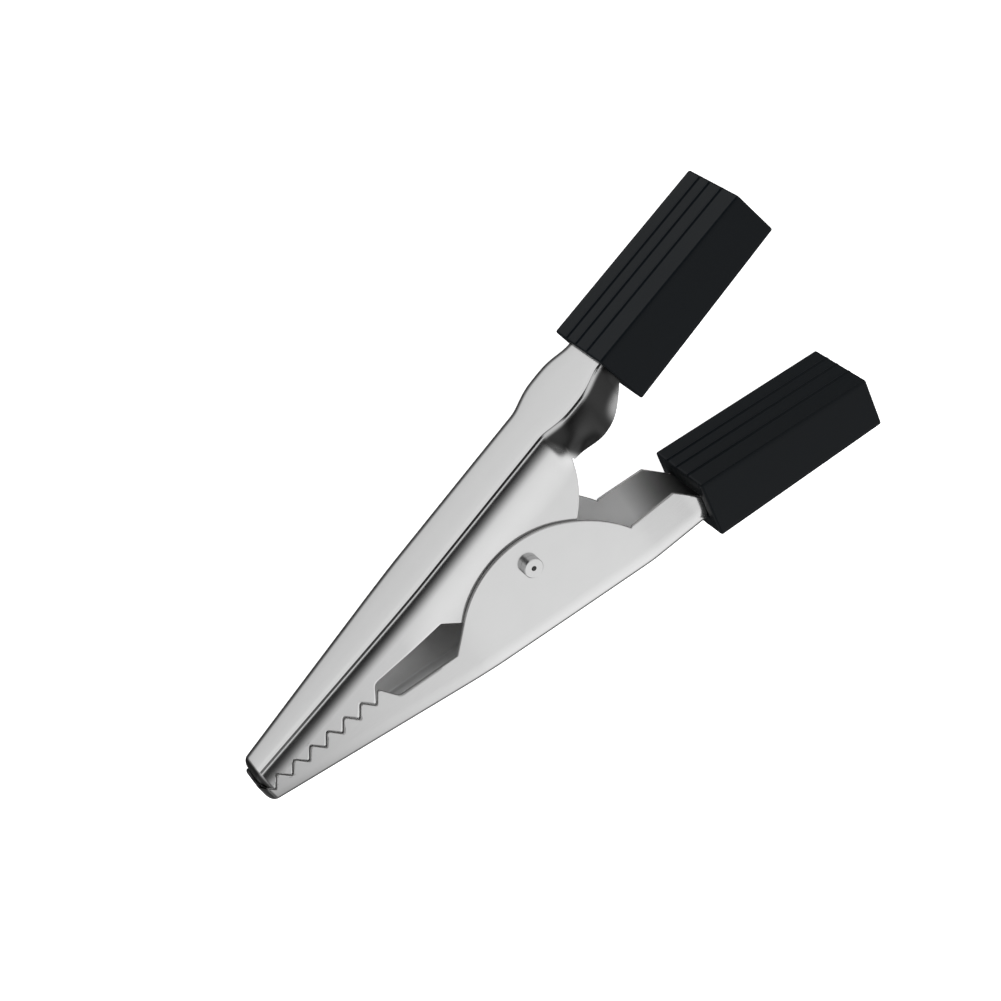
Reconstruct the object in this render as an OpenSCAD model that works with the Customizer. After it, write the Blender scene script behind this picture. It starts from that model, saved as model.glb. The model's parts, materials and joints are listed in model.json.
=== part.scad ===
// Battery clip: two formed sheet-steel jaws on a rivet, sprung shut, with slip-on plastic grips.
// The clip lies on its side: Z is the direction of the pin, and X runs towards the nose along the bite
// line. The origin is on the floor under the middle of the clip. Each piece is described from the
// middle of the pin and set down at the end. The inner jaw lies towards -Y, the outer jaw towards +Y.

/* [Sheet] */
// Thickness of the steel sheet
sheet = 0.35; // [0.3:0.05:0.5]
// Width of the rounded fold between back and walls
fold_w = 0.6; // [0.55:0.05:0.9]
// Height of the rounded fold, down the wall
fold_h = 2; // [1:0.1:2.2]
// Outside radius round the front edge of the nose
nose_r = 0.8; // [0.7:0.05:1]
// Play between the walls of one jaw and the other
ear_play = 0.05; // [0.04:0.01:0.1]

/* [Jaws, seen from the side] */
// Pin axis to the tip of the nose
reach = 36; // [34:0.5:40]
// How far the nose of the outer jaw stands ahead of the inner one
nose_lead = 0.45; // [0:0.05:0.6]
// Height of the nose on the inner jaw, from the bite line
inner_nose_h = 1.8; // [1.7:0.05:2.1]
// Height of the nose on the outer jaw, from the bite line
outer_nose_h = 2.15; // [2:0.05:2.6]
// Bite line to the back of the inner jaw, over the pin
inner_back_h = 9.1; // [8.9:0.1:9.6]
// Bite line to the back of the outer jaw, over the pin
outer_back_h = 9.05; // [8.85:0.1:9.55]
// Bite line to the back of the inner handle, at its grip
inner_handle_h = 12.8; // [12.4:0.1:13.2]
// Bite line to the back of the outer handle, at its grip
outer_handle_h = 11.9; // [11.5:0.1:12.2]
// Slope of the inner handle inside its grip
inner_handle_a = 11.7; // [10:0.1:13]
// Slope of the outer handle inside its grip
outer_handle_a = 10.1; // [9:0.1:12]
// Pin axis to the front of the grips
handle_x = 18.5; // [18.4:0.1:20]
// Length of handle inside a grip
tang_len = 17; // [12:0.5:19]
// Depth of the handle channel inside a grip
tang_h = 3.2; // [3:0.1:3.4]

/* [Jaws, seen from the back] */
// Width of the nose
nose_w = 4.8; // [4.6:0.1:5.4]
// Width over the ears of the outer jaw
ear_w = 8; // [7.4:0.1:8]
// Width of the back of the inner jaw
back_w = 7.6; // [7.4:0.1:8.2]
// Width of the thumb pad
pad_w = 9.9; // [9.2:0.1:9.9]
// Pin axis to the middle of the thumb pad
pad_x = 13.6; // [13.2:0.1:13.6]
// Length of the thumb pad
pad_len = 9.6; // [8:0.1:9.6]
// Height over which the inner wall steps in to its ear
step_h = 2.2; // [1.6:0.1:2.6]
// Width of the outer handle where it enters its grip
neck_w = 7; // [6.6:0.1:7.4]

/* [Teeth and window] */
// Pitch of the teeth
tooth_pitch = 2.26; // [2:0.02:2.6]
// Depth of the teeth
tooth_h = 1.4; // [1.1:0.05:1.5]
// Flat on the tips and in the roots
tooth_flat = 0.16; // [0.1:0.02:0.3]
// How far the first tooth of the outer jaw stands ahead of the inner nose
tooth_lead = 0.3; // [0.1:0.05:0.4]
// Number of teeth on each jaw
teeth = 7; // [5:1:7]
// Gap between the closed jaws at the teeth
bite_gap = 0.3; // [0.2:0.05:0.5]
// Depth of the window in the inner jaw, at its front
inner_window_front = 1.5; // [1.2:0.1:1.8]
// Depth of the window in the inner jaw, at its back
inner_window_back = 1.8; // [1.5:0.1:2.2]
// Depth of the window in the outer jaw, at its front
outer_window_front = 1.8; // [1.4:0.1:2.2]
// Depth of the window in the outer jaw, at its back
outer_window_back = 2.6; // [2:0.1:3]

/* [Ears] */
// Reach of the ears past the bite line
ear_h = 3.45; // [3:0.05:3.8]
// Radius of the front of the ears
ear_front_r = 11.1; // [10.5:0.1:12]
// Radius of the back of the inner ears
inner_ear_r = 13; // [12.5:0.1:13.5]
// Radius of the back of the outer ears
outer_ear_r = 17.5; // [16.5:0.1:18.5]
// Where the top of the ears lies, ahead of the pin
ear_top_x = 1.25; // [1:0.05:1.5]
// Pin axis to the notch behind the inner ears
inner_notch_x = 10.4; // [9.8:0.1:10.8]
// Pin axis to the notch behind the outer ears
outer_notch_x = 10.9; // [10.4:0.1:11.4]
// Depth of the inner handle behind the notch
inner_wall_h = 5.2; // [4.8:0.1:5.6]
// Depth of the outer handle behind the notch
outer_wall_h = 5.8; // [5.4:0.1:6.2]

/* [Rivet] */
// Diameter of the rivet's shank
pin_d = 1.75; // [1.5:0.05:1.9]
// Diameter of the rivet's ends
head_d = 2.25; // [2.05:0.05:2.6]
// How far the ends stand out of the ears
head_h = 0.8; // [0.6:0.05:0.9]
// Diameter of the dimple in each end
dimple_d = 0.55; // [0.4:0.05:0.8]
// Running clearance of the shank in its holes
pin_play = 0.04; // [0.02:0.01:0.08]

/* [Spring] */
// Diameter of the spring wire
wire_d = 0.7; // [0.5:0.05:0.8]
// Inside diameter of the coil
coil_id = 3.4; // [2.6:0.1:4]
// Whole turns in the coil
turns = 4; // [2:1:4]
// Pin axis to where the legs bear on the handles
leg_x = 13.5; // [11:0.5:15]
// Gap between turns, and between the legs and the handles
wire_gap = 0.06; // [0.03:0.01:0.1]

/* [Grips] */
// Width of a grip
grip_w = 10; // [9.9:0.1:11]
// Length of a grip
grip_len = 22; // [20:0.5:26]
// Height of a grip at its front
grip_front_h = 7.05; // [6.6:0.05:7.6]
// Height of a grip at its back
grip_back_h = 6.15; // [6:0.05:7]
// Thickness of the inner grip over its handle
inner_skin = 1.15; // [1:0.05:1.4]
// Thickness of the outer grip over its handle
outer_skin = 1.65; // [1.4:0.05:1.8]
// Bevel along the edges of a grip
grip_bevel = 0.16; // [0.1:0.02:0.3]
// Play between a grip and its handle
grip_play = 0.06; // [0.04:0.01:0.12]
// Height of the ribs
rib_h = 0.14; // [0.1:0.02:0.3]
// Width of the ribs
rib_w = 0.4; // [0.3:0.05:0.6]
// Distance of the three ribs from the middle of the grip
rib_low = -2.5; // [-3.5:0.1:-1.5]
// Middle rib
rib_mid = -0.5; // [-1:0.1:1]
// Top rib
rib_high = 1.9; // [1.5:0.1:3.5]

/* [Hidden] */
$fn = 48;
steel = "#c9cbcd";
plastic = "#25292c";

outer_ear = ear_w / 2;
inner_ear = outer_ear - sheet - ear_play;
half_nose = nose_w / 2;
nose_taper = 0.06;
foot = ear_h + 1;
tang_end = handle_x + tang_len;
back_slope = 0.175;
full_width_x = reach * 0.3;
narrow_x = reach * 0.4;
narrow_by = 0.15;
bulge_len = pad_x + 1 - inner_notch_x;
window_start = 0.58 * tooth_pitch;
ear_front_a = -45;
ear_join_a = -124.4;
heel_slope = 0.85;
heel_round = 2;
heel_gap = 0.1;
head_edge = 0.08;
nose_steps = 4;
fold_steps = 6;
fold_crowding = 1.5;
step_steps = 6;
pad_steps = 12;
pad_fullness = 1.45;
least_step = 0.02;
bend_steps = 6;
spare = 5;

// Where the middle of the pin stands, with the clip centred over the origin: its back end and its
// two sides are the far corners of the grips
clip_back = handle_x + grip_len * cos(inner_handle_a) + (grip_back_h - inner_skin) * sin(inner_handle_a);
function clip_side(h, slope, skin_h) = h + grip_len * sin(slope) + skin_h * cos(slope);
inner_side = clip_side(inner_handle_h, inner_handle_a, inner_skin);
outer_side = clip_side(outer_handle_h, outer_handle_a, outer_skin);
pin_at = [(clip_back - reach - nose_lead) / 2, (inner_side - outer_side) / 2, grip_w / 2];
module set_down() {
    translate(pin_at) children();
}

// Back line of each jaw: height over the bite line at a distance x ahead of the pin
inner_line = [
    [-tang_end, inner_handle_h + tang_len * tan(inner_handle_a)],
    [-handle_x, inner_handle_h], [0, inner_back_h], [reach, inner_nose_h]
];
outer_line = [
    [-tang_end, outer_handle_h + tang_len * tan(outer_handle_a)],
    [-handle_x, outer_handle_h], [-outer_notch_x, outer_back_h + outer_notch_x * back_slope],
    [0, outer_back_h], [reach / 3, outer_back_h - reach / 3 * back_slope],
    [reach + nose_lead, outer_nose_h]
];

// Half width of the back of each jaw, and of its walls, at x
function taper(x, most) = min(most, half_nose + nose_taper * (reach - x));
function pad(x) = let (t = abs(x + pad_x) / pad_len * 2)
    t > 1 ? 0 : pow(cos(90 * pow(t, pad_fullness)), 2);
function inner_half(x) = (pad_w - back_w) / 2 * pad(x) + lookup(x, [
    [full_width_x, back_w / 2], [narrow_x, back_w / 2 - narrow_by], [reach, half_nose]
]);
function inner_wall(x) = let (
    wide = inner_half(x),
    ear = min(wide, taper(x, inner_ear)),
    run = max(0, min(1, -(x + inner_notch_x) / bulge_len))
) ear + (wide - ear) * (1 - cos(180 * run)) / 2;
function outer_half(x) = taper(x, outer_ear) - outer_ear + lookup(x, [
    [-handle_x, neck_w / 2], [-outer_notch_x, outer_ear]
]);

// One half of a jaw's section, from its back round the fold and down the wall, at a depth o below the
// outer surface
function half_section(back, half, wall, inset, o) = let (
    z = half - inset - fold_w, y = back - inset - fold_h, drop = half - wall
) concat(
    [for (i = [0 : fold_steps]) let (a = 90 * pow(i / fold_steps, fold_crowding))
        [y + (fold_h - o) * cos(a), z + (fold_w - o) * sin(a)]],
    [for (i = [1 : drop > 0 ? step_steps : 0]) let (
        a = 180 * i / step_steps,
        lean = drop * PI / 2 * sin(a) / step_h,
        n = sqrt(1 + lean * lean)
    ) [y - step_h * i / step_steps + o * lean / n, half - inset - drop * (1 - cos(a)) / 2 - o / n]],
    [[-foot, wall - inset - o]]
);
function ring(x, back, half, wall, inset, o) = let (
    h = half_section(back, half, wall, inset, o)
) concat([for (i = [len(h) - 1 : -1 : 0]) [x, h[i][0], -h[i][1]]], [for (p = h) [x, p[0], p[1]]]);

// Rings of one skin: rounded over at the nose, then one at each station back to the end of the handle
function skin(jaw_x, o) = concat(
    [for (i = [0 : nose_steps - 1]) let (a = 90 - 90 * i / nose_steps, r = nose_r - o)
        station(jaw_x[1] - nose_r + r * sin(a), jaw_x[0], r * (1 - cos(a)), o)],
    [for (x = jaw_x[2]) station(x, jaw_x[0], 0, o)]
);
function station(x, which, inset, o) = which == "inner"
    ? ring(x, lookup(x, inner_line), inner_half(x), min(inner_wall(x), inner_half(x) - least_step), inset, o)
    : ring(x, lookup(x, outer_line), outer_half(x), outer_half(x), inset, o);

function quad(a, b, c, d) = [[a, b, c], [a, c, d]];

// Closed solid through a list of rings, each with the same number of points
module loft(rings) {
    n = len(rings);
    m = len(rings[0]);
    polyhedron(
        points = [for (r = rings, p = r) p],
        faces = concat(
            [for (i = [0 : n - 2], j = [0 : m - 1]) let (k = (j + 1) % m) each
                quad(i * m + j, i * m + k, (i + 1) * m + k, (i + 1) * m + j)],
            [[for (j = [m - 1 : -1 : 0]) j], [for (j = [0 : m - 1]) (n - 1) * m + j]]
        ),
        convexity = 6
    );
}

// Sheet between an outer and an inner skin, closed at the nose and open along the foot of its walls
module formed_sheet(skins) {
    n = len(skins[0]);
    m = len(skins[0][0]);
    function at(s, i, j) = (s * n + i) * m + j;
    polyhedron(
        points = [for (s = skins, r = s, p = r) p],
        faces = concat(
            [for (i = [0 : n - 2], j = [0 : m - 2]) each
                quad(at(0, i, j), at(0, i, j + 1), at(0, i + 1, j + 1), at(0, i + 1, j))],
            [for (i = [0 : n - 2], j = [0 : m - 2]) each
                quad(at(1, i, j), at(1, i + 1, j), at(1, i + 1, j + 1), at(1, i, j + 1))],
            [for (j = [0 : m - 2]) each
                quad(at(0, n - 1, j), at(0, n - 1, j + 1), at(1, n - 1, j + 1), at(1, n - 1, j))],
            [for (i = [0 : n - 2]) each
                quad(at(0, i, 0), at(0, i + 1, 0), at(1, i + 1, 0), at(1, i, 0))],
            [for (i = [0 : n - 2]) each
                quad(at(0, i, m - 1), at(1, i, m - 1), at(1, i + 1, m - 1), at(0, i + 1, m - 1))],
            quad(at(0, 0, 0), at(1, 0, 0), at(1, 0, m - 1), at(0, 0, m - 1)),
            [[for (j = [m - 1 : -1 : 0]) at(0, 0, j)], [for (j = [0 : m - 1]) at(1, 0, j)]]
        ),
        convexity = 6
    );
}

// Teeth, from the first one back
function tooth_row(first, count) = [for (i = [0 : count - 1], p = [[1, -1], [-1, -1], [1, 1], [-1, 1]])
    if (i < count - 1 || p[1] < 0) [
        first - i * tooth_pitch + p[0] * tooth_flat / 2 - (p[1] > 0 ? tooth_pitch / 2 : 0),
        (p[1] * tooth_h + bite_gap) / 2
    ]];
function arc(c, r, from, to, n) =
    [for (i = [0 : n]) let (a = from + (to - from) * i / n) c + r * [cos(a), sin(a)]];

// Corner at b between a and c, cut back by a run along each side and rounded between
function bend(a, b, c, run) = run == 0 ? [b] : let (
    from = b + run * (a - b) / norm(a - b),
    to = b + run * (c - b) / norm(c - b)
) [for (i = [0 : bend_steps]) let (t = i / bend_steps)
    (1 - t) * (1 - t) * from + 2 * t * (1 - t) * b + t * t * to];

// Everything a jaw keeps when seen from the side: teeth, window, ear, notch and handle
module jaw_outline(line, first, count, window_front, window_back, ear_back_r, notch_x, wall_h, heel) {
    last = first - (count - 1) * tooth_pitch;
    front_c = [ear_top_x, ear_front_r - ear_h];
    back_c = front_c + (ear_front_r - ear_back_r) * [cos(ear_join_a), sin(ear_join_a)];
    ear_start = front_c + ear_front_r * [cos(ear_front_a), sin(ear_front_a)];
    ear_end_a = -acos(-(notch_x + back_c[0]) / ear_back_r);
    tang_x = handle_x + tang_h * sin(inner_handle_a) - heel_gap;
    corner_x = tang_x - heel_slope * (wall_h - tang_h);
    notch = [-notch_x, lookup(-notch_x, line) - wall_h];
    tang = [-tang_x, lookup(-tang_x, line) - tang_h];
    tail = tang_end + spare;
    polygon(concat(
        [[reach + spare, 2 * outer_back_h], [reach + spare, (tooth_h + bite_gap) / 2],
         [first + tooth_pitch / 2, (tooth_h + bite_gap) / 2]],
        tooth_row(first, count),
        [[last - window_start, window_front], [ear_start[0] + window_back - ear_start[1], window_back]],
        arc(front_c, ear_front_r, ear_front_a, ear_join_a, 20),
        arc(back_c, ear_back_r, ear_join_a - 2, ear_end_a, 8),
        [notch],
        bend(notch, [-corner_x, lookup(-corner_x, line) - wall_h], tang, heel),
        [tang,
         [-tang_end, lookup(-tang_end, line) - tang_h],
         [-tail, lookup(-tang_end, line) - tang_h],
         [-tail, 2 * outer_back_h]]
    ));
}

// One jaw on its own side of the bite line: formed sheet, cut to its outline and drilled for the pin
module jaw(jaw_x, line, first, count, window_front, window_back, ear_back_r, notch_x, wall_h, heel) {
    difference() {
        intersection() {
            formed_sheet([skin(jaw_x, 0), skin(jaw_x, sheet)]);
            linear_extrude(pad_w + spare, center = true)
                jaw_outline(
                    line, first, count, window_front, window_back, ear_back_r, notch_x, wall_h, heel
                );
        }
        cylinder(d = pin_d + 2 * pin_play, h = pad_w + spare, center = true);
    }
}
outer_first = reach + tooth_lead;
inner_first = outer_first - tooth_pitch / 2;

// Where the taper of the nose reaches the half width of an ear
function taper_end(ear) = reach - (ear - half_nose) / nose_taper;

// For each jaw: its name, the place of its nose, and the stations from there back
inner_x = ["inner", reach, concat(
    [max(taper_end(inner_ear), narrow_x), min(taper_end(inner_ear), narrow_x), full_width_x],
    [for (i = [0 : pad_steps]) pad_len * (0.5 - i / pad_steps) - pad_x],
    [-handle_x, -tang_end]
)];
outer_x = ["outer", reach + nose_lead, [
    max(taper_end(outer_ear), reach / 3), min(taper_end(outer_ear), reach / 3),
    0, -outer_notch_x, -handle_x, -tang_end
]];

module inner_jaw() {
    color(steel) set_down() mirror([0, 1, 0])
        jaw(inner_x, inner_line, inner_first, teeth, inner_window_front, inner_window_back,
            inner_ear_r, inner_notch_x, inner_wall_h, heel_round);
}
module outer_jaw() {
    color(steel) set_down()
        jaw(outer_x, outer_line, outer_first, teeth + 1, outer_window_front, outer_window_back,
            outer_ear_r, outer_notch_x, outer_wall_h, 0);
}

// Rivet with a shouldered end outside each outer ear and a dimple where it was peened
module pivot_rivet() {
    seat = outer_ear + ear_play;
    top = seat + head_h;
    color(steel) set_down() rotate_extrude() polygon([
        [0, dimple_d / 2 - top], [dimple_d / 2, -top], [head_d / 2 - head_edge, -top],
        [head_d / 2, head_edge - top], [head_d / 2, -seat], [pin_d / 2, -seat],
        [pin_d / 2, seat], [head_d / 2, seat], [head_d / 2, top - head_edge],
        [head_d / 2 - head_edge, top], [dimple_d / 2, top], [0, top - dimple_d / 2]
    ]);
}

// Torsion spring: a leg on the inner handle, the coil round the rivet, a leg on the outer handle
coil_r = (coil_id + wire_d) / 2;
leg_lift = sheet + wire_gap + wire_d / 2;
inner_bear = [-leg_x, leg_lift - lookup(-leg_x, inner_line)];
outer_bear = [-leg_x, lookup(-leg_x, outer_line) - leg_lift];
function leave(p, side) = atan2(p[1], p[0]) + side * acos(coil_r / norm(p));
coil_start = leave(inner_bear, 1);
coil_sweep = 360 * turns + (leave(outer_bear, -1) - coil_start) % 360 + 360;
coil_rise = (wire_d + wire_gap) * coil_sweep / 360;
wire_sides = 8;
turn_rings = 16;
function wire_ring(p, z, a) = [for (i = [0 : wire_sides - 1]) let (t = 360 * i / wire_sides)
    [p[0] + wire_d / 2 * cos(t) * cos(a), p[1] + wire_d / 2 * cos(t) * sin(a), z + wire_d / 2 * sin(t)]];
module torsion_spring() {
    n = round(coil_sweep / 360 * turn_rings);
    color("#b4b6b8") set_down() loft(concat(
        [wire_ring(inner_bear, -coil_rise / 2, coil_start)],
        [for (i = [0 : n]) let (a = coil_start + coil_sweep * i / n)
            wire_ring(coil_r * [cos(a), sin(a)], coil_rise * (i / n - 0.5), a)],
        [wire_ring(outer_bear, coil_rise / 2, coil_start + coil_sweep)]
    ));
}

// Grip on its own side of the bite line: a tapered sleeve over the handle, ribbed on its broad faces
module grip(line, slope, skin_h, half) {
    drop = (grip_front_h - grip_back_h) / 2;
    function face(s) = [skin_h - drop * s / grip_len, skin_h - grip_front_h + drop * s / grip_len];
    function section(s, inset) = let (
        y = face(s) + [-inset, inset], z = grip_w / 2 - inset, b = grip_bevel
    ) [[s, y[0], z - b], [s, y[0], b - z], [s, y[0] - b, -z], [s, y[1] + b, -z],
       [s, y[1], b - z], [s, y[1], z - b], [s, y[1] + b, z], [s, y[0] - b, z]];
    translate([-handle_x, lookup(-handle_x, line), 0]) rotate(180 - slope) mirror([0, 1, 0])
    difference() {
        union() {
            loft([section(0, grip_bevel), section(grip_bevel, 0),
                section(grip_len - grip_bevel, 0), section(grip_len, grip_bevel)]);
            for (z = [rib_low, rib_mid, rib_high], side = [0, 1]) {
                a = face(0)[side];
                b = face(grip_len)[side];
                up = side == 0 ? rib_h : -rib_h;
                translate([0, 0, z]) linear_extrude(rib_w, center = true)
                    polygon([[grip_bevel, a + up], [grip_len, b + up],
                        [grip_len, b - up - sign(up) * grip_bevel],
                        [grip_bevel, a - up - sign(up) * grip_bevel]]);
            }
        }
        linear_extrude(2 * (half + grip_play), center = true)
            polygon([[-spare, grip_play], [grip_len + spare, grip_play],
                [grip_len + spare, -tang_h - grip_play], [-spare, -tang_h - grip_play]]);
    }
}
module inner_grip() {
    color(plastic) set_down() mirror([0, 1, 0]) grip(inner_line, inner_handle_a, inner_skin, back_w / 2);
}
module outer_grip() {
    color(plastic) set_down() grip(outer_line, outer_handle_a, outer_skin, neck_w / 2);
}

inner_jaw();
outer_jaw();
pivot_rivet();
torsion_spring();
inner_grip();
outer_grip();
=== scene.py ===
import json

import bmesh
import bpy
import numpy as np
from mathutils import Matrix, Vector


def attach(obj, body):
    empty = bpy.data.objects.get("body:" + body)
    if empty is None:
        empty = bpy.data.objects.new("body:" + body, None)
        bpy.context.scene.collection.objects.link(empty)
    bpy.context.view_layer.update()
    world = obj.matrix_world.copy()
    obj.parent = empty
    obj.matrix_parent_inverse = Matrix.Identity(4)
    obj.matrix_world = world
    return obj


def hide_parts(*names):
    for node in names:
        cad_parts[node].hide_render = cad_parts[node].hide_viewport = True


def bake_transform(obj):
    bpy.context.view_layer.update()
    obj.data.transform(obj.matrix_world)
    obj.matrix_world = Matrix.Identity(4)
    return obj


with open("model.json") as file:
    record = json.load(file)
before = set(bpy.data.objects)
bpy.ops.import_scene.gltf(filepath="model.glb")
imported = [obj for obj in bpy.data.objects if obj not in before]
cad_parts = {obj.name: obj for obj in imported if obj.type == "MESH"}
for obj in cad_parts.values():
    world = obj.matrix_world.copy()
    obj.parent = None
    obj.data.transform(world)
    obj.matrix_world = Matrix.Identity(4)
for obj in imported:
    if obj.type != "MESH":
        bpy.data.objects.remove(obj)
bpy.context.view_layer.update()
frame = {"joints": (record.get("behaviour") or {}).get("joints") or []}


# The studio: a pale floor under a large soft box, a small low lamp beside the camera, and a room that the
# bright metal mirrors. Along the camera's line of sight the room is dark but for a tall window beyond the
# clip, pale ground below the camera and a narrow strip of light overhead; to the sides the room is pale.
pin = Vector(frame["joints"][0]["pos_m"])


class Reading:
    """A node's output socket. An operator on it adds the Math node that does the sum."""

    def __init__(self, finish, socket):
        self.finish, self.socket = finish, socket

    def out(self, number):
        """Another output of the same node."""
        return Reading(self.finish, self.socket.node.outputs[number])

    def sum(self, operation, first, second):
        """A Math node with this operation on two numbers or readings."""
        return self.finish.node("Math", {"operation": operation}, {0: first, 1: second})

    def __add__(self, other):
        return self.sum("ADD", self, other)

    def __sub__(self, other):
        return self.sum("SUBTRACT", self, other)

    def __rsub__(self, other):
        return self.sum("SUBTRACT", other, self)

    def __mul__(self, other):
        return self.sum("MULTIPLY", self, other)

    __radd__ = __add__
    __rmul__ = __mul__


class Finish:
    """A node tree under construction, for a material or for the sky."""

    def __init__(self, owner):
        owner.use_nodes = True
        self.owner, self.tree = owner, owner.node_tree
        self.tree.nodes.clear()

    def node(self, kind, settings, inputs, output=0):
        """Adds one node: its settings first, then a value or a link for each socket named."""
        made = self.tree.nodes.new("ShaderNode" + kind)
        for name, value in settings.items():
            if name == "stops":
                for i, (place, level) in enumerate(value):
                    stop = made.color_ramp.elements[i] if i < 2 else made.color_ramp.elements.new(place)
                    stop.position, stop.color = place, (level, level, level, 1)
            else:
                setattr(made, name, value)
        for name, value in inputs.items():
            if isinstance(value, Reading):
                self.tree.links.new(value.socket, made.inputs[name])
            else:
                made.inputs[name].default_value = value
        return Reading(self, made.outputs[output]) if made.outputs else None

    def noise(self, where, scale, detail=3.0, rough=0.55):
        """Soft noise of a scale given per metre."""
        return self.node("TexNoise", {}, {
            "Vector": where, "Scale": scale, "Detail": detail, "Roughness": rough})

    def band(self, value, low, high):
        """0 below low, 1 above high, and smooth between them."""
        return self.node("MapRange", {"interpolation_type": "SMOOTHSTEP"}, {"Value": value, 1: low, 2: high})

    def tint(self, share, first, second):
        """The first colour where share is 0, the second where it is 1."""
        return self.node("Mix", {"data_type": "RGBA"}, {0: share, 6: first, 7: second}, output=2)


def grey(level, warm=0.0):
    """A grey, with more red and less blue by the share warm."""
    return (level * (1 + warm), level, level * (1 - warm), 1)


sky = Finish(bpy.data.worlds.new("studio room"))
bpy.context.scene.world = sky.owner
way = sky.node("SeparateXYZ", {}, {0: sky.node("TexCoord", {}, {})})
way_up = way.out(2)
round_room = way_up.sum("ARCTAN2", way_up, way.out(1)) * (0.5 / np.pi) + 0.5


def round_ramp(stops):
    """A level for each angle in degrees round the room: 0 is the horizon beyond the clip, 90 overhead, 180
    the horizon behind the camera and -90 straight down."""
    return sky.node("ValToRGB", {"stops": [(degrees / 360 + 0.5, level) for degrees, level in stops]},
                    {0: round_room})


def side_ramp(stops, axis=way):
    """A level for each share of the way along an axis, from -1 to 1: the axis towards the nose's side of
    the room, if no other is named."""
    return sky.node("ValToRGB", {"stops": [(0.5 + share / 2, level) for share, level in stops]},
                    {0: axis * 0.5 + 0.5})


room = round_ramp([
    (-180, 0.02), (-172, 0.02), (-163, 0.15), (-156, 0.8), (-148, 1.08), (-134, 1.14), (-124, 1.14),
    (-120, 0.8), (-115, 0.2), (-109, 0.04), (-35, 0.03), (45, 0.05), (60, 0.08), (80, 0.03), (98, 0.01),
    (104, 0.1), (109, 0.8), (114, 1.25), (119, 0.8), (124, 0.12), (130, 0.02), (180, 0.02)])
window_rise = round_ramp([
    (-3, 0.0), (6, 0.35), (12, 0.9), (22, 1.08), (41, 1.04), (50, 0.94), (55, 0.87), (57.5, 0.74), (60, 0.65),
    (62, 0.57), (64.5, 0.47), (67, 0.37), (69.5, 0.29), (72, 0.22), (75, 0.15), (78, 0.1), (82, 0.06),
    (86, 0.03), (92, 0.0)])
window_width = side_ramp([
    (-0.36, 0.0), (-0.24, 0.95), (-0.05, 1.0), (0.1, 0.9), (0.17, 0.5), (0.26, 0.06), (0.6, 0.1)])
window_light = 1.25
walls = side_ramp([
    (-1, 0.3), (-0.75, 0.1), (-0.6, 0.25), (-0.4, 0.7), (-0.02, 0.4), (0.12, 0.5), (0.45, 0.85), (1, 0.95)],
    axis=way_up)
beside = side_ramp([(-0.45, 1), (-0.3, 0), (0.36, 0), (0.55, 1)])
ceiling = (round_ramp([(-163, 0.8), (-156, 0), (58, 0), (72, 0.8), (180, 0.8)])
           * side_ramp([(-0.22, 1), (-0.1, 0)]))
ground = round_ramp([(-38, 0), (-28, 0.8), (-6, 0.8), (3, 0)]) * side_ramp([(0.16, 0), (0.3, 1)])
glow = ceiling.sum("MAXIMUM", ceiling, ground)
facing = glow.sum("MAXIMUM", glow, room + window_rise * window_width * window_light)
seen = sky.node("LightPath", {}, {})
room_light = sky.tint(seen, sky.tint(beside, facing, walls), grey(1.0))
shine = sky.node("Background", {}, {"Color": room_light, "Strength": 1.0})
sky.node("OutputWorld", {}, {"Surface": shine})

floor_size = 1.2
floor_mesh = bpy.data.meshes.new("floor")
floor_mesh.from_pydata([(x * floor_size, y * floor_size, 0) for x, y in ((-1, -1), (1, -1), (1, 1), (-1, 1))],
                       [], [(0, 1, 2, 3)])
floor = bpy.data.objects.new("floor", floor_mesh)
bpy.context.scene.collection.objects.link(floor)
paper = Finish(bpy.data.materials.new("pale floor"))
paper_fleck = paper.noise(paper.node("TexCoord", {}, {}, output=3), 40.0)
paper_skin = paper.node("BsdfPrincipled", {}, {
    "Base Color": paper.tint(paper_fleck, grey(0.90), grey(0.94)), "Roughness": 0.9,
    "Specular IOR Level": 0.0, "Emission Color": grey(1.0), "Emission Strength": 0.9})
paper.node("OutputMaterial", {}, {"Surface": paper_skin})
floor_mesh.materials.append(paper.owner)
floor.visible_glossy = False


def lamp(name, place, size, power):
    """A square soft box at place, turned to face the pin. The room gives the gloss, so no mirror image of
    the box shows."""
    light = bpy.data.lights.new(name, "AREA")
    light.size, light.energy = size, power
    made = bpy.data.objects.new(name, light)
    made.location = place
    made.rotation_euler = (pin - Vector(place)).to_track_quat("-Z", "Y").to_euler()
    made.visible_glossy = False
    bpy.context.scene.collection.objects.link(made)


lamp("overhead box", (-0.1, 0.15, 0.7), size=0.8, power=1.5)
lamp("low fill", pin + Vector((0.12, -0.26, 0.2)), size=0.12, power=0.5)

# The camera is fitted to the photo: the place is in metres from the pin, the rows are its turn.
lens = bpy.data.cameras.new("camera")
lens.sensor_width = 36.0
lens.lens = 86.31
lens.clip_start, lens.clip_end = 0.01, 10.0
camera = bpy.data.objects.new("camera", lens)
camera_from_pin = Vector((0.02066, -0.14881, 0.20476))
look = Matrix(((-0.74256, -0.66356, 0.09107), (0.50755, -0.64619, -0.56994), (0.43704, -0.377, 0.81662)))
camera.matrix_world = Matrix.Translation(pin + camera_from_pin) @ look.to_4x4()
bpy.context.scene.collection.objects.link(camera)
bpy.context.scene.camera = camera
bpy.context.scene.view_settings.view_transform = "Standard"


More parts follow.
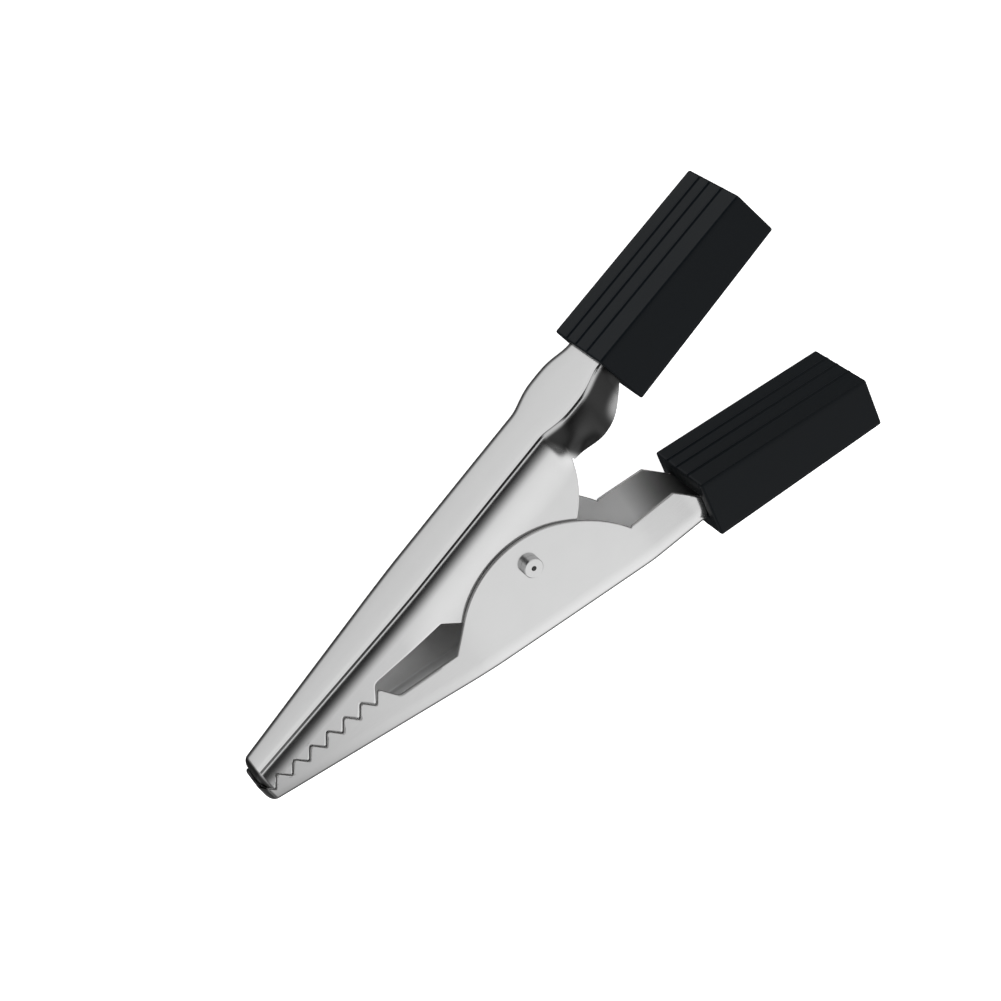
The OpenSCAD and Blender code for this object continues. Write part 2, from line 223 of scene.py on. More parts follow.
# The inner jaw: one blank of thin nickel-plated steel, its walls folded down from the back, drawn round
# at the nose and set in behind it so that its ears pass between those of the other jaw. The edges are
# sheared, with the plating thin over the bare cut. Lengths are in millimetres from the pin from here on.
sheet = 0.35
fold_w, fold_h, crown_w, crown_h = 0.6, 2.0, 0.8, 0.075
nose_r = 0.8
reach = 36.0
tooth_pitch, tooth_h, tooth_flat, bite_gap = 2.26, 1.4, 0.16, 0.3
first_tooth = reach + 0.3
tooth_r, window_r, bend_r, edge_step = 0.27, 0.8, 0.3, 0.3
ear_h, ear_front_r, ear_top_x = 3.45, 11.1, 1.25
ear_front_angle, ear_top_angle = -45, -124.4
hole_r = 0.915
handle_x, tang_len, tang_h, inner_slope = 18.5, 17.0, 3.2, 11.7
tang_end = handle_x + tang_len
heel_x = handle_x + tang_h * np.sin(np.radians(inner_slope)) - 0.1
heel_rake, notch_depth, window_share = 0.85, 0.12, 0.58
edge_r = 0.06
back_blur, side_blur, far = 0.8, 1.2, 60
painted_shade_mark, inside_mark, cut_mark = 0.25, 0.5, 1


def along(x, knots, blur):
    """Straight lines between the knots, averaged over a short length so that no corner is left."""
    places, values = np.array(sorted(knots)).T
    reach_of_blur = np.linspace(-blur, blur, 9)
    return np.interp(np.add.outer(np.asarray(x, float), reach_of_blur), places, values).mean(-1)


def smooth(value, low, high):
    """0 below low, 1 above high, and a smooth cubic between them."""
    t = np.clip((value - low) / (high - low), 0, 1)
    return t * t * (3 - 2 * t)


def parabola(t, start, corner, end):
    """The curve that leaves start towards the corner and comes in to end from it, as t goes from 0 to 1."""
    return (1 - t) ** 2 * start + 2 * t * (1 - t) * corner + t ** 2 * end


def rounded(line, radius, steps=6, least_turn=5):
    """Each corner of the line made a parabola that leaves one side and joins the next at the radius
    times the tangent of half the turn, or at most 0.45 of the shorter side. A lesser turn stays a corner."""
    side = np.diff(line, axis=0)
    length = np.hypot(*side.T)
    heading = side / length[:, None]
    turn = np.arccos(np.clip((heading[:-1] * heading[1:]).sum(1), -1, 1))
    cut = np.minimum(radius * np.tan(turn / 2), 0.45 * np.minimum(length[:-1], length[1:]))
    cut = (cut * (turn > np.radians(least_turn)))[:, None]
    before, corner, after = line[1:-1] - heading[:-1] * cut, line[1:-1], line[1:-1] + heading[1:] * cut
    t = np.linspace(0, 1, steps)[None, :, None]
    curve = parabola(t, before[:, None], corner[:, None], after[:, None])
    return np.vstack([line[:1], curve.reshape(-1, 2), line[-1:]])


def divided(line, most, least=1e-4):
    """Each side of the line cut into equal steps no longer than most, without sides shorter than least."""
    side = np.diff(line, axis=0)
    length = np.hypot(*side.T)
    real = length > least
    line, side, length = np.vstack([line[:-1][real], line[-1:]]), side[real], length[real]
    count = np.maximum(1, np.ceil(length / most)).astype(int)
    step = np.arange(count.sum()) - np.repeat(np.cumsum(count) - count, count)
    share = step / np.repeat(count, count)
    return np.vstack([np.repeat(line[:-1], count, 0) + np.repeat(side, count, 0) * share[:, None], line[-1:]])


def jaw_edge(back_line, first, count, window, ear_back_r, notch_x, wall_h, heel):
    """The lower edge of a jaw's walls seen from the side, from the nose to the end of the handle:
    a tooth is two flanks that would meet beyond its worn tip; the window lies at the first height behind the
    teeth and at the second before the ear; the ear is an arc of 11 mm that runs on into a wider one; the
    heel is a parabola that leaves each side of its corner at the distance heel."""
    tooth = first - tooth_pitch * np.arange(count)[:, None]
    tip_y, root_y = (bite_gap - tooth_h) / 2, (bite_gap + tooth_h) / 2
    half_pitch = tooth_pitch / 2
    beyond = tooth_flat / 2 * tooth_h / (half_pitch - tooth_flat)
    across = np.hstack([tooth, tooth - half_pitch])
    heights = np.broadcast_to([tip_y - beyond, root_y + beyond], across.shape)
    teeth = np.dstack([across, heights]).reshape(-1, 2)[:-1]
    last_tooth_x = teeth[-1, 0]
    window_x = last_tooth_x - window_share * tooth_pitch
    centre = np.array([ear_top_x, ear_front_r - ear_h])
    turn = np.radians(np.linspace(ear_front_angle, ear_top_angle, 34))[:, None]
    front = centre + ear_front_r * np.hstack([np.cos(turn), np.sin(turn)])
    top_turn = turn[-1, 0]
    behind = centre + (ear_front_r - ear_back_r) * np.array([np.cos(top_turn), np.sin(top_turn)])
    notch_turn = -np.arccos(-(notch_x + behind[0]) / ear_back_r)
    turn = np.linspace(top_turn, notch_turn, 12)[1:, None]
    back = behind + ear_back_r * np.hstack([np.cos(turn), np.sin(turn)])
    heel_corner_x = heel_x - heel_rake * (wall_h - tang_h)
    height = lambda x: np.interp(-x, *np.array(sorted(back_line)).T)
    notch, corner, tang = np.array([
        [-notch_x - notch_depth, height(notch_x) - wall_h],
        [-heel_corner_x, height(heel_corner_x) - wall_h],
        [-heel_x, height(heel_x) - tang_h]])
    enter, leave = (corner + heel * (end - corner) / np.hypot(*(end - corner)) for end in (notch, tang))
    line = np.vstack([
        [[first + half_pitch, root_y]], teeth,
        [[window_x, window[0]], [front[0, 0] + window[1] - front[0, 1], window[1]]],
        front, back, [notch], parabola(np.linspace(0, 1, 9 if heel else 1)[:, None], enter, corner, leave),
        [tang, [-tang_end, height(tang_end) - tang_h]]])
    corner_x, slack = line[1:-1, 0], 0.01
    in_teeth, at_window = corner_x > last_tooth_x - slack, corner_x > window_x - slack
    corner_r = np.select([in_teeth, at_window], [tooth_r, window_r], bend_r)
    return divided(rounded(line, corner_r), edge_step)


flat_shares = np.array([1.0, 0.8, 0.6, 0.4, 0.2])
flat_columns = len(flat_shares) + 2
fold_shares = np.linspace(0, 1, 15) ** 1.5
step_shares = np.linspace(0, 1, 9)[None, 1:]
wall_shares = np.append(np.linspace(0, 0.985, 17), 1)[None, 1:]


def shell(edge, nose_x, back, half, wall, step):
    """The folded sheet as a grid: one row of points round the section at each place along the edge,
    on the outer skin and on the inner one. A section runs across the back, which falls by a square at its
    sides, round a quarter ellipse, down an S of half a cosine that sets the wall in, and straight on."""
    keep = edge[:, 0] < nose_x - nose_r - 0.02
    nose_turn = np.radians(np.linspace(90, 0, 9))
    x_edge, y_edge = edge[keep].T
    tangent = np.gradient(edge, axis=0)[keep]
    tangent /= np.hypot(*tangent.T)[:, None]
    skins = []
    for depth in (0.0, sheet):
        r = nose_r - depth
        x_nose = nose_x - nose_r + r * np.sin(nose_turn)
        x = np.concatenate([x_nose, x_edge])
        inset = np.concatenate([r * (1 - np.cos(nose_turn)), 0 * x_edge])
        foot = np.concatenate([np.interp(-x_nose, -edge[:, 0], edge[:, 1]), y_edge])
        pull_x = np.concatenate([0 * x_nose, edge_r * tangent[:, 1]])
        pull_y = np.concatenate([edge_r + 0 * x_nose, -edge_r * tangent[:, 0]])
        stop = foot + pull_y
        top, wide, low = back(x) - inset, half(x) - inset, wall(x) - inset
        centre_y, centre_z = top - fold_h, (wide - fold_w)[:, None]
        last = np.arccos(np.clip((stop - centre_y) / (fold_h - depth), 0, 1))
        angle = last[:, None] * fold_shares
        fold_y = (centre_y[:, None] - crown_h + (fold_h + crown_h - depth) * np.cos(angle)
                  - crown_h * np.cos(angle) ** 2)
        fold = np.dstack([x[:, None] + 0 * angle, fold_y, centre_z + (fold_w - depth) * np.sin(angle)])
        flat = np.hstack([0 * centre_z, centre_z / 2 - crown_w, centre_z - crown_w * flat_shares])
        fall = crown_h * np.clip(1 + (flat - centre_z) / crown_w, 0, 1) ** 2
        flat = np.dstack([x[:, None] + 0 * flat, (top - depth)[:, None] - fall, flat])
        start = np.maximum(centre_y, stop)
        step_h = step(x)
        step_stop = np.maximum(centre_y - step_h, stop)
        y = np.hstack([start[:, None] + (step_stop - start)[:, None] * step_shares,
                       step_stop[:, None] + (stop - step_stop)[:, None] * wall_shares])
        step_h = step_h[:, None]
        sunk = np.clip((centre_y[:, None] - y) / step_h, 0, 1)
        drop = (wide - low)[:, None]
        lean = drop * np.pi / 2 * np.sin(np.pi * sunk) / step_h
        size = np.sqrt(1 + lean ** 2)
        z = wide[:, None] - drop * (1 - np.cos(np.pi * sunk)) / 2 - depth / size
        share = (start[:, None] - y) / np.maximum(start - stop, 1e-6)[:, None]
        probe = 0.01
        z = z + (pull_x * (wall(x + probe) - wall(x - probe)) / (2 * probe))[:, None] * share
        side = np.dstack([x[:, None] + pull_x[:, None] * share, y + depth * lean / size, z])
        half_ring = np.concatenate([flat, fold, side], axis=1)
        cut = half_ring[:, -1].copy()
        cut[:, 0], cut[:, 1] = x, foot
        mirror = np.array([1, 1, -1])
        ring = np.concatenate([half_ring[:, :0:-1] * mirror, half_ring], axis=1)
        skins.append((ring, np.stack([cut * mirror, cut])))
    return skins


def quads(rows, columns):
    """The faces of a grid of points that are numbered row by row."""
    corner = (np.arange(rows - 1)[:, None] * columns + np.arange(columns - 1)).ravel()
    return np.stack([corner, corner + 1, corner + columns + 1, corner + columns], axis=1)


def cut_rows(cut, skin, other_cut, turn):
    """One edge of the sheared cut as lines of points: a quarter circle from the cut's flat to the skin."""
    return [cut + (skin - cut) * (1 - np.sin(t)) + (other_cut - cut) * (1 - np.cos(t)) * edge_r / sheet
            for t in turn]


def sheet_solid(skins):
    """Joins the two skins into one closed shell: a front for each skin, a rounded strip along the sheared
    edge, and a ring through each hole, where the grid is opened and drawn to a circle round the pin. Each
    point is marked as outer skin, inner skin or cut."""
    (outer, outer_cut), (inner, inner_cut) = skins
    n, m = outer.shape[:2]
    points, faces = [outer.reshape(-1, 3), inner.reshape(-1, 3)], []
    middle = (outer[:-1, :-1] + outer[1:, :-1] + outer[:-1, 1:] + outer[1:, 1:]) / 4
    gone = np.hypot(middle[..., 0], middle[..., 1]) < hole_r
    near = np.zeros((n, m), int)
    for i, j in ((0, 0), (1, 0), (0, 1), (1, 1)):
        near[i:n - 1 + i, j:m - 1 + j] += gone
    rim = ((near > 0) & (near < 4)).ravel()
    for skin in points:
        skin[rim, :2] *= hole_r / np.hypot(*skin[rim, :2].T)[:, None]
    grid = quads(n, m)[~gone.ravel()]
    faces += [grid, grid[:, ::-1] + n * m]
    wide = np.pad(gone, 1)
    number = np.arange(n * m).reshape(n, m)
    along_row = wide[:-1, 1:-1] != wide[1:, 1:-1]
    along_column = wide[1:-1, :-1] != wide[1:-1, 1:]
    along_row[0] = along_row[-1] = False
    along_column[:, 0] = along_column[:, -1] = False
    for first, second in ((number[:, :-1][along_row], number[:, 1:][along_row]),
                          (number[:-1][along_column], number[1:][along_column])):
        faces.append(np.stack([first, second, second + n * m, first + n * m], axis=1))
    count = 2 * n * m
    crest = (m - 1) // 2
    skin_loops, cut_loops = [], []
    for skin, edge_line in ((outer, outer_cut), (inner, inner_cut)):
        top, front = skin[0, crest - flat_columns:crest + flat_columns + 1], skin[0, crest + flat_columns:]
        panel = np.repeat(front[:, None], len(top), axis=1)
        panel[..., 2] *= top[:, 2] / top[-1, 2]
        panel[0] = top
        points.append(panel.reshape(-1, 3))
        faces.append(quads(*panel.shape[:2]) + count)
        count += panel.shape[0] * panel.shape[1]
        bottom = panel[-1, ::-1]
        low = bottom - [0, edge_r, 0]
        skin_loops.append(np.vstack([skin[::-1, -1], bottom[1:-1], skin[:, 0], skin[-1, 1:-1]]))
        cut_loops.append(np.vstack([edge_line[1, ::-1], low[1:-1], edge_line[0], skin[-1, 1:-1]]))
    turn = np.radians([0, 30, 60, 90])
    strip = np.stack(cut_rows(cut_loops[0], skin_loops[0], cut_loops[1], turn)
                     + cut_rows(cut_loops[1], skin_loops[1], cut_loops[0], turn[::-1]))
    strip = np.concatenate([strip, strip[:, :1]], axis=1)
    points.append(strip.reshape(-1, 3))
    faces.append(quads(*strip.shape[:2]) + count)
    kind = np.zeros(count + strip.shape[0] * strip.shape[1])
    kind[n * m:2 * n * m] = inside_mark
    kind[count:].reshape(len(strip), -1)[2:-2] = cut_mark
    return np.vstack(points), np.vstack(faces), kind


def solid_piece(name, points, faces, kind=None, sharp=38.0):
    """A mesh from points in millimetres from the pin: points that fall together become one, faces that
    have lost a side are dropped, and all faces are turned outwards."""
    _, first, same = np.unique(np.round(points, 4), axis=0, return_index=True, return_inverse=True)
    faces = same.ravel()[faces]
    ordered = np.sort(faces, axis=1)
    sides = 1 + (np.diff(ordered, axis=1) > 0).sum(1)
    shown = [list(dict.fromkeys(face)) for face in faces[sides > 2].tolist()]
    mesh = bpy.data.meshes.new(name)
    mesh.from_pydata((points[first] / 1000 + np.array(pin)).tolist(), [], shown)
    mesh.validate()
    if kind is not None:
        mark = mesh.attributes.new("kind_of_face", "FLOAT", "POINT")
        mark.data.foreach_set("value", kind[first].astype(np.float32))
    work = bmesh.new()
    work.from_mesh(mesh)
    bmesh.ops.recalc_face_normals(work, faces=work.faces)
    if work.calc_volume(signed=True) < 0:
        bmesh.ops.reverse_faces(work, faces=work.faces)
    work.to_mesh(mesh)
    work.free()
    mesh.polygons.foreach_set("use_smooth", np.ones(len(mesh.polygons), bool))
    mesh.set_sharp_from_angle(angle=np.radians(sharp))
    made = bpy.data.objects.new(name, mesh)
    bpy.context.scene.collection.objects.link(made)
    return made


# The plate: satin nickel with its grain along the clip, darker at the bare cut, with painted shade beside the
# thumb pad, on the round noses and in the rivet's dimple. The inside has painted shade and painted light
# along the clip, dark by the grips, on a ramp that is 50 mm long with the pin at its middle.
nickel = Finish(bpy.data.materials.new("satin nickel plate"))
place = nickel.node("TexCoord", {}, {}, output=3)
rolled = nickel.node("Mapping", {}, {"Vector": place, "Scale": (0.06, 1.0, 1.0)})
grain = nickel.noise(rolled, 9000.0)
cloud = nickel.noise(place, 260.0, 2.0)
speck = nickel.noise(place, 15000.0, 2.0)
kind_of_face = nickel.node("Attribute", {"attribute_name": "kind_of_face"}, {}, output=2)
bare_edge = nickel.band(kind_of_face, 0.6, 0.9)
inside = nickel.band(kind_of_face, 0.3, 0.45) - bare_edge
# Painted shade: the base colour turns near black where the mark is up to 0.25, beside the thumb pad, on the
# noses and in the dimple.
painted_shade = nickel.band(kind_of_face, 0.0, painted_shade_mark) - nickel.band(kind_of_face, 0.3, 0.45)
per_length = 20.0
length_share = nickel.node("SeparateXYZ", {}, {0: place}) * per_length + (0.5 - per_length * pin.x)
# Painted shade and painted light on the inside: near black by the grips, pale on the handle near the ears and
# toward the nose.
inside_painted_light_and_shade = nickel.node("ValToRGB", {"stops": [
    (0.11, 0.03), (0.17, 0.35), (0.24, 0.95), (0.33, 0.95), (0.44, 0.5), (0.68, 0.5), (0.92, 0.95)]},
    {0: length_share})
nickel_bump = nickel.node("Bump", {}, {
    "Strength": 0.10, "Distance": 0.00001, "Height": grain * 0.7 + speck * 0.3})
plated = nickel.tint(bare_edge * 0.8, nickel.tint(cloud, grey(0.55), grey(0.6)), grey(0.22, 0.01))
nickel_gloss = grain * 0.08 + cloud * 0.05 + bare_edge * 0.12 + inside * 0.15 + painted_shade * 0.16 + 0.1
nickel_skin = nickel.node("BsdfPrincipled", {}, {
    "Base Color": nickel.tint(inside, nickel.tint(painted_shade, plated, grey(0.045)), inside_painted_light_and_shade),
    "Metallic": 1.0 - inside * 0.4 - bare_edge * 0.45, "Roughness": nickel_gloss, "Normal": nickel_bump})
nickel.node("OutputMaterial", {}, {"Surface": nickel_skin})

inner_handle_y = 12.8
inner_back_line = [(-tang_end, inner_handle_y + tang_len * np.tan(np.radians(inner_slope))),
                   (-handle_x, inner_handle_y), (0, 9.1), (reach, 1.8)]
pad_x, pad_len, pad_swell, inner_notch_x = 13.6, 9.6, 1.15, 10.4


def inner_back(x):
    """The height of the back: straight lines with blurred corners."""
    return along(x, inner_back_line, back_blur)


def inner_half(x):
    """Half the width of the back: 3.8 mm, tapering to the nose, and wider by a full squared cosine at the
    thumb pad."""
    t = np.clip(np.abs(x + pad_x) / pad_len * 2, 0, 1)
    plain = along(x, [(-far, 3.8), (10.8, 3.8), (14.4, 3.65), (reach, 2.4), (far, 1.01)], side_blur)
    return plain + pad_swell * np.cos(np.pi / 2 * t ** 1.45) ** 2


def inner_wall(x):
    """Half the width over the ears, which opens to the full width behind the notch by half a cosine."""
    wide = inner_half(x)
    ear = np.minimum(wide, along(x, [(-far, 3.6), (16, 3.6), (reach, 2.4), (far, 0.96)], side_blur))
    run = np.clip(-(x + inner_notch_x) / (pad_x + 1 - inner_notch_x), 0, 1)
    return ear + (wide - ear) * (1 - np.cos(np.pi * run)) / 2


def inner_step(x):
    """The height over which the wall is set in, which is less on the handle."""
    return np.interp(x, [-12, -8], [3.2, 4.4])


def nose_share(x, nose_x):
    """0 on the straight of a jaw and 1 from the middle of the round of its nose."""
    return smooth(x, nose_x - 0.85, nose_x - 0.5)


inner_edge = jaw_edge(inner_back_line, first=first_tooth - tooth_pitch / 2, count=7, window=(1.5, 1.8),
                      ear_back_r=13.0, notch_x=inner_notch_x, wall_h=5.2, heel=2.0)
inner_points, inner_faces, inner_kind = sheet_solid(
    shell(inner_edge, reach, inner_back, inner_half, inner_wall, inner_step))
# Painted shade darkens the wall beside the thumb pad, less so at its foot, and the round nose.
along_wall, down_wall = -inner_points[:, 0], inner_back(inner_points[:, 0]) - inner_points[:, 1]
drawn = smooth(along_wall - 0.43 * down_wall, 7.7, 9.5) * smooth(down_wall, 0.15, 0.8)
drawn *= 1 - 0.7 * smooth(along_wall, 15.0, 17.0) * smooth(down_wall, 2.6, 4.6)
nose = nose_share(inner_points[:, 0], reach)
inner_kind = np.where((inner_kind == 0) | (nose > 0.5), painted_shade_mark * np.maximum(drawn, nose), inner_kind)
inner_jaw = solid_piece("inner_jaw_sheet", inner_points * [1, -1, 1], inner_faces, inner_kind)
inner_jaw.data.materials.append(nickel.owner)
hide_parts("inner_jaw")
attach(inner_jaw, "inner_half")


# The outer jaw: the same plated sheet, folded plain, with larger ears that clasp the inner ones and a
# nose that stands a little ahead of its fellow.
outer_nose_x = reach + 0.45
outer_notch_x, outer_handle_y, outer_slope = 10.9, 11.9, 10.1
outer_back_line = [(-tang_end, outer_handle_y + tang_len * np.tan(np.radians(outer_slope))),
                   (-handle_x, outer_handle_y), (-outer_notch_x, 11.0), (0, 9.12), (12, 7.02),
                   (outer_nose_x, 2.15)]


def outer_back(x):
    """The height of the back: straight lines with blurred corners."""
    return along(x, outer_back_line, back_blur)


def outer_half(x):
    """Half the width: 4 mm over the ears, less towards the nose and where the handle enters its grip."""
    return along(x, [(-far, 3.5), (-handle_x, 3.5), (-outer_notch_x, 4.0), (9.33, 4.0), (reach, 2.4),
                     (far, 0.96)], side_blur)


def outer_step(x):
    """This wall isn't set in, so its step only spaces the rows down it."""
    return 0 * x + 2.2


outer_edge = jaw_edge(outer_back_line, first=first_tooth, count=8, window=(1.8, 2.6),
                      ear_back_r=17.5, notch_x=outer_notch_x, wall_h=5.8, heel=0.0)
outer_points, outer_faces, outer_kind = sheet_solid(
    shell(outer_edge, outer_nose_x, outer_back, outer_half, outer_half, outer_step))
nose = nose_share(outer_points[:, 0], outer_nose_x)
# Painted shade darkens the outer jaw's round nose.
outer_kind = np.where((outer_kind == 0) | (nose > 0.5), painted_shade_mark * nose, outer_kind)
outer_jaw = solid_piece("outer_jaw_sheet", outer_points, outer_faces, outer_kind)
outer_jaw.data.materials.append(nickel.owner)
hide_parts("outer_jaw")
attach(outer_jaw, "outer_half")


# The rivet: a plated steel pin through all four ears. Each end stands out as a plain drum with a
# dimple left by the riveting punch.
def turned(profile, sides=64):
    """A closed solid of revolution: the profile is carried round the pin by equal turns."""
    turn = np.linspace(0, 2 * np.pi, sides + 1)[:, None]
    r, z = profile.T
    points = np.dstack([r * np.cos(turn), r * np.sin(turn), z + 0 * turn])
    return points.reshape(-1, 3), quads(sides + 1, len(profile))


head_low, head_top, head_r, head_edge, shank_r = 4.012, 4.85, 1.125, 0.1, 0.875
dimple_r, dimple_h, bevel, ease = 0.25, 0.20, 0.01, 0.03
dimple_rim, rim_drop = 0.05, 0.02
round_r, round_z = head_r - head_edge, head_top - head_edge
bend = np.radians(np.linspace(0, 90, 6))[:, None]
dip = np.linspace(1, 0, 7)[:, None]
drum = np.vstack([
    [[shank_r, 0.0], [shank_r, head_low], [head_r - bevel, head_low], [head_r, head_low + bevel]],
    [[head_r, head_low + ease], [head_r, round_z - ease]],
    np.hstack([round_r + head_edge * np.cos(bend), round_z + head_edge * np.sin(bend)]),
    [[round_r - ease, head_top], [dimple_r + dimple_rim, head_top], [dimple_r + ease, head_top]],
    np.hstack([dimple_r * dip, head_top - rim_drop - dimple_h * (1 - dip ** 2)])])
drum = divided(drum, most=0.4)
rivet_points, rivet_faces = turned(np.vstack([drum[:0:-1] * [1, -1], drum]))
# Painted shade darkens the dimple in each drum's end.
in_dimple = np.hypot(rivet_points[:, 0], rivet_points[:, 1]) < dimple_r + (ease + dimple_rim) / 2
dimple_painted_shade = 0.8 * painted_shade_mark * (in_dimple & (np.abs(rivet_points[:, 2]) > head_low))
rivet = solid_piece("rivet_drum", rivet_points, rivet_faces, dimple_painted_shade, sharp=45.0)
rivet.data.materials.append(nickel.owner)
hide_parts("pivot_rivet")
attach(rivet, "inner_half")


# The spring: hard-drawn wire wound four and a half times round the rivet, with a leg along the inside
# of each handle.
wire_d, coil_r, wire_gap, leg_x = 0.7, 2.05, 0.06, 13.5
leg_lift = sheet + wire_gap + wire_d / 2
lower_bear = np.array([-leg_x, leg_lift - np.interp(-leg_x, *np.array(sorted(inner_back_line)).T)])
upper_bear = np.array([-leg_x, np.interp(-leg_x, *np.array(sorted(outer_back_line)).T) - leg_lift])


def tangent_turn(point, side):
    """Where round the coil a straight leg to the point leaves it: the point's bearing, turned by the
    angle whose cosine is the coil's radius over the point's distance."""
    return np.arctan2(point[1], point[0]) + side * np.arccos(coil_r / np.hypot(*point))


def drawn_wire(line, radius, sides=20):
    """A round wire: a circle carried along the line, square to it, with domed ends of shrinking circles."""
    heading = np.gradient(line, axis=0)
    heading /= np.linalg.norm(heading, axis=1)[:, None]
    out = np.cross(heading, [0, 0, 1.0])
    out /= np.linalg.norm(out, axis=1)[:, None]
    over = np.cross(out, heading)
    dome = np.radians([0, 25, 50, 70, 85])
    size = np.concatenate([np.sin(dome), np.ones(len(line)), np.sin(dome[::-1])]) * radius
    rise = radius * (1 - np.cos(dome))
    push = np.concatenate([rise, np.full(len(line), radius), rise[::-1]]) - radius
    pick = np.concatenate([np.zeros(len(dome), int), np.arange(len(line)), np.full(len(dome), len(line) - 1)])
    sign = np.concatenate([np.ones(len(dome)), np.zeros(len(line)), -np.ones(len(dome))])
    centre = line[pick] + heading[pick] * (push * sign)[:, None]
    t = np.linspace(0, 2 * np.pi, sides + 1)[None, :, None]
    circle = np.cos(t) * out[pick][:, None] + np.sin(t) * over[pick][:, None]
    points = centre[:, None] + size[:, None, None] * circle
    return points.reshape(-1, 3), quads(len(centre), sides + 1)


whole_turns, full_turn = 4, 2 * np.pi
coil_start = tangent_turn(lower_bear, 1)
coil_sweep = (whole_turns * full_turn + np.fmod(tangent_turn(upper_bear, -1) - coil_start, full_turn)
              + full_turn)
coil_rise = (wire_d + wire_gap) * coil_sweep / full_turn
wound = np.linspace(0, 1, 260)
coil_angle = coil_start + coil_sweep * wound
helix = np.stack([coil_r * np.cos(coil_angle), coil_r * np.sin(coil_angle), coil_rise * (wound - 0.5)],
                 axis=1)
leg = np.linspace(0, 1, 24)[:-1, None]
lower_leg = np.append(lower_bear, -coil_rise / 2) * (1 - leg) + helix[0] * leg
upper_leg = np.append(upper_bear, coil_rise / 2) * (1 - leg) + helix[-1] * leg
wire_points, wire_faces = drawn_wire(np.vstack([lower_leg, helix, upper_leg[::-1]]), wire_d / 2)
spring = solid_piece("spring_wire", wire_points, wire_faces, sharp=60.0)
wire = Finish(bpy.data.materials.new("drawn spring wire"))
wire_place = wire.node("TexCoord", {}, {}, output=3)
die_marks = wire.noise(wire_place, 6000.0)
wire_skin = wire.node("BsdfPrincipled", {}, {
    "Base Color": wire.tint(wire.noise(wire_place, 700.0), grey(0.42, 0.01), grey(0.56, 0.02)),
    "Metallic": 1.0, "Roughness": die_marks * 0.18 + 0.22,
    "Normal": wire.node("Bump", {}, {"Strength": 0.2, "Distance": 0.00001, "Height": die_marks})})
wire.node("OutputMaterial", {}, {"Surface": wire_skin})
spring.data.materials.append(wire.owner)
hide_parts("torsion_spring")
pin + Vector((0, 0, -coil_rise / 2000))
pin + Vector((0, 0, coil_rise / 2000))
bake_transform(spring)


# The grips: straight tapered sleeves of black plastic, moulded with three fine ribs down each broad
# face and pushed over the handles.
grip_w, grip_len, grip_front_h, grip_back_h, corner_r = 9.998, 22.0, 7.05, 6.15, 0.22
rib_places, rib_h, rib_w = (-2.5, -0.5, 1.9), 0.135, 0.44
hole_gap, hole_corner_r, mouth = 0.06, 0.12, 0.1


def section(half_z, top, bottom, r, rib, hole_points=(129, 17)):
    """Once round a section of the sleeve: the top face, a side, the bottom face and the other side, with
    quarter circles between. A rib is a bump of a squared cosine across a broad face."""
    broad, narrow = (np.linspace(1, -1, count) for count in hole_points)
    quarter = np.radians(np.linspace(90, 0, 7))[1:-1]
    flat_z = broad * (half_z - r)
    bump = sum(np.where(np.abs(flat_z - rib_z) < rib_w / 2, np.cos(np.pi * (flat_z - rib_z) / rib_w) ** 2, 0)
               for rib_z in rib_places) * rib
    side_y = (top + bottom) / 2 + narrow * ((top - bottom) / 2 - r)
    side_z = np.full(len(narrow), half_z)
    co, si = r * np.cos(quarter), r * np.sin(quarter)
    parts = [np.stack([top + bump, flat_z], 1),
             np.stack([top - r + si, -(half_z - r) - co], 1),
             np.stack([side_y, -side_z], 1),
             np.stack([bottom + r - si[::-1], -(half_z - r) - co[::-1]], 1),
             np.stack([bottom - bump[::-1], flat_z[::-1]], 1),
             np.stack([bottom + r - si, (half_z - r) + co], 1),
             np.stack([side_y[::-1], side_z], 1),
             np.stack([top - r + si[::-1], (half_z - r) + co[::-1]], 1)]
    return np.vstack(parts + [parts[0][:1]])


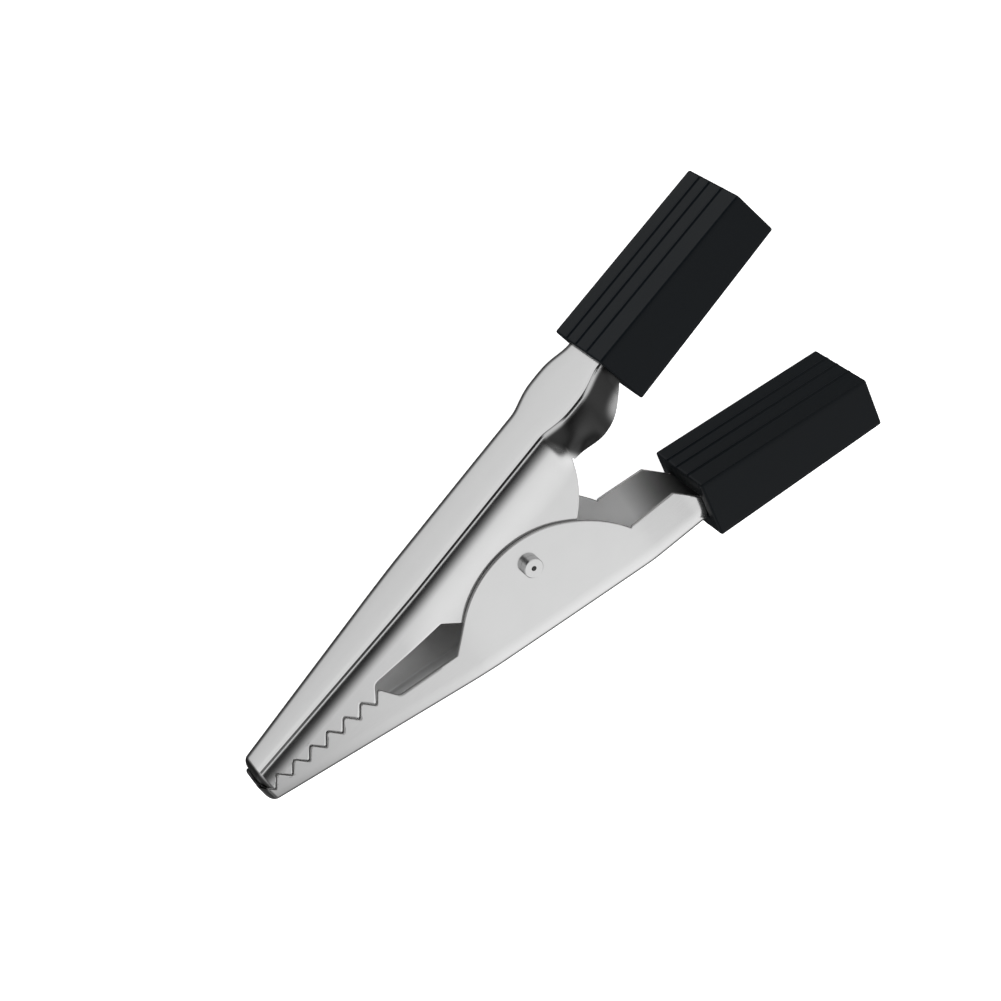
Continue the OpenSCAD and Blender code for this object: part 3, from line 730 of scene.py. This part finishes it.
def sleeve(skin_h, slope, root, cavity_half):
    """A rectangle with round corners carried along the handle while its height shrinks evenly. The sleeve's
    wall turns in at each end to the handle's hole."""
    fall = (grip_front_h - grip_back_h) / 2
    lip = np.radians(np.linspace(0, 90, 5))
    rings, places = [], []

    def ring(s, inset, rib):
        """A section of the outside, at s from the front end."""
        drop = fall * np.clip(s, 0, grip_len) / grip_len
        rings.append(section(grip_w / 2 - inset, skin_h - drop - inset, skin_h - grip_front_h + drop + inset,
                             max(corner_r - inset * 0.5, 0.05), rib))
        places.append(s)

    def hole(s, grow):
        """A section of the hole for the handle."""
        rings.append(section(cavity_half + grow, -hole_gap + grow, -tang_h - hole_gap - grow,
                             hole_corner_r, 0))
        places.append(s)

    for s in np.append(np.linspace(grip_len / 2, 0.8, 10), (0.6, 0.45, 0.3)):
        ring(s, 0, rib_h)
    for t in lip:
        ring(corner_r * (1 - np.sin(t)), corner_r * (1 - np.cos(t)), rib_h * np.cos(t))
    hole(0, mouth)
    hole(mouth, 0)
    for s in np.linspace(0.5, grip_len - mouth, 16):
        hole(s, 0)
    hole(grip_len, mouth)
    for t in lip[::-1]:
        ring(grip_len - corner_r * (1 - np.sin(t)), corner_r * (1 - np.cos(t)), rib_h * np.cos(t))
    for s in np.linspace(grip_len - 0.3, grip_len / 2, 10):
        ring(s, 0, rib_h)
    rings = np.array(rings)
    up_y, wide_z = rings[..., 0], rings[..., 1]
    s = np.array(places)[:, None] + 0 * up_y
    a = np.radians(slope)
    x = root[0] - s * np.cos(a) + up_y * np.sin(a)
    points = np.dstack([x, root[1] + s * np.sin(a) + up_y * np.cos(a), wide_z])
    return points.reshape(-1, 3), quads(*rings.shape[:2])


plastic = Finish(bpy.data.materials.new("black moulded plastic"))
spot = plastic.node("TexCoord", {}, {}, output=3)
spark = plastic.noise(spot, 5200.0, 4.0, 0.65)
drift = plastic.noise(spot, 180.0, 2.0)
pore = plastic.node("TexVoronoi", {}, {"Vector": spot, "Scale": 6500.0})
plastic_bump = plastic.node("Bump", {}, {
    "Strength": 0.35, "Distance": 0.00002, "Height": spark * 0.7 + pore * 0.3})
deep_black, worn_black = (0.0006, 0.0016, 0.0026, 1), (0.0026, 0.0042, 0.0056, 1)
plastic_skin = plastic.node("BsdfPrincipled", {}, {
    "Base Color": plastic.tint(spark * 0.6 + drift * 0.4, deep_black, worn_black),
    "Roughness": drift * 0.10 + spark * 0.08 + 0.25, "Specular IOR Level": 0.13, "Normal": plastic_bump})
plastic.node("OutputMaterial", {}, {"Surface": plastic_skin})

for name, body, skin_h, slope, root_y, side, cavity_half in (
        ("inner_grip", "inner_half", 1.15, inner_slope, inner_handle_y, -1, 3.86),
        ("outer_grip", "outer_half", 1.65, outer_slope, outer_handle_y, 1, 3.56)):
    sleeve_points, sleeve_faces = sleeve(skin_h, slope, (-handle_x, root_y), cavity_half)
    grip = solid_piece(name + "_sleeve", sleeve_points * [1, side, 1], sleeve_faces, sharp=50.0)
    grip.data.materials.append(plastic.owner)
    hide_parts(name)
    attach(grip, body)
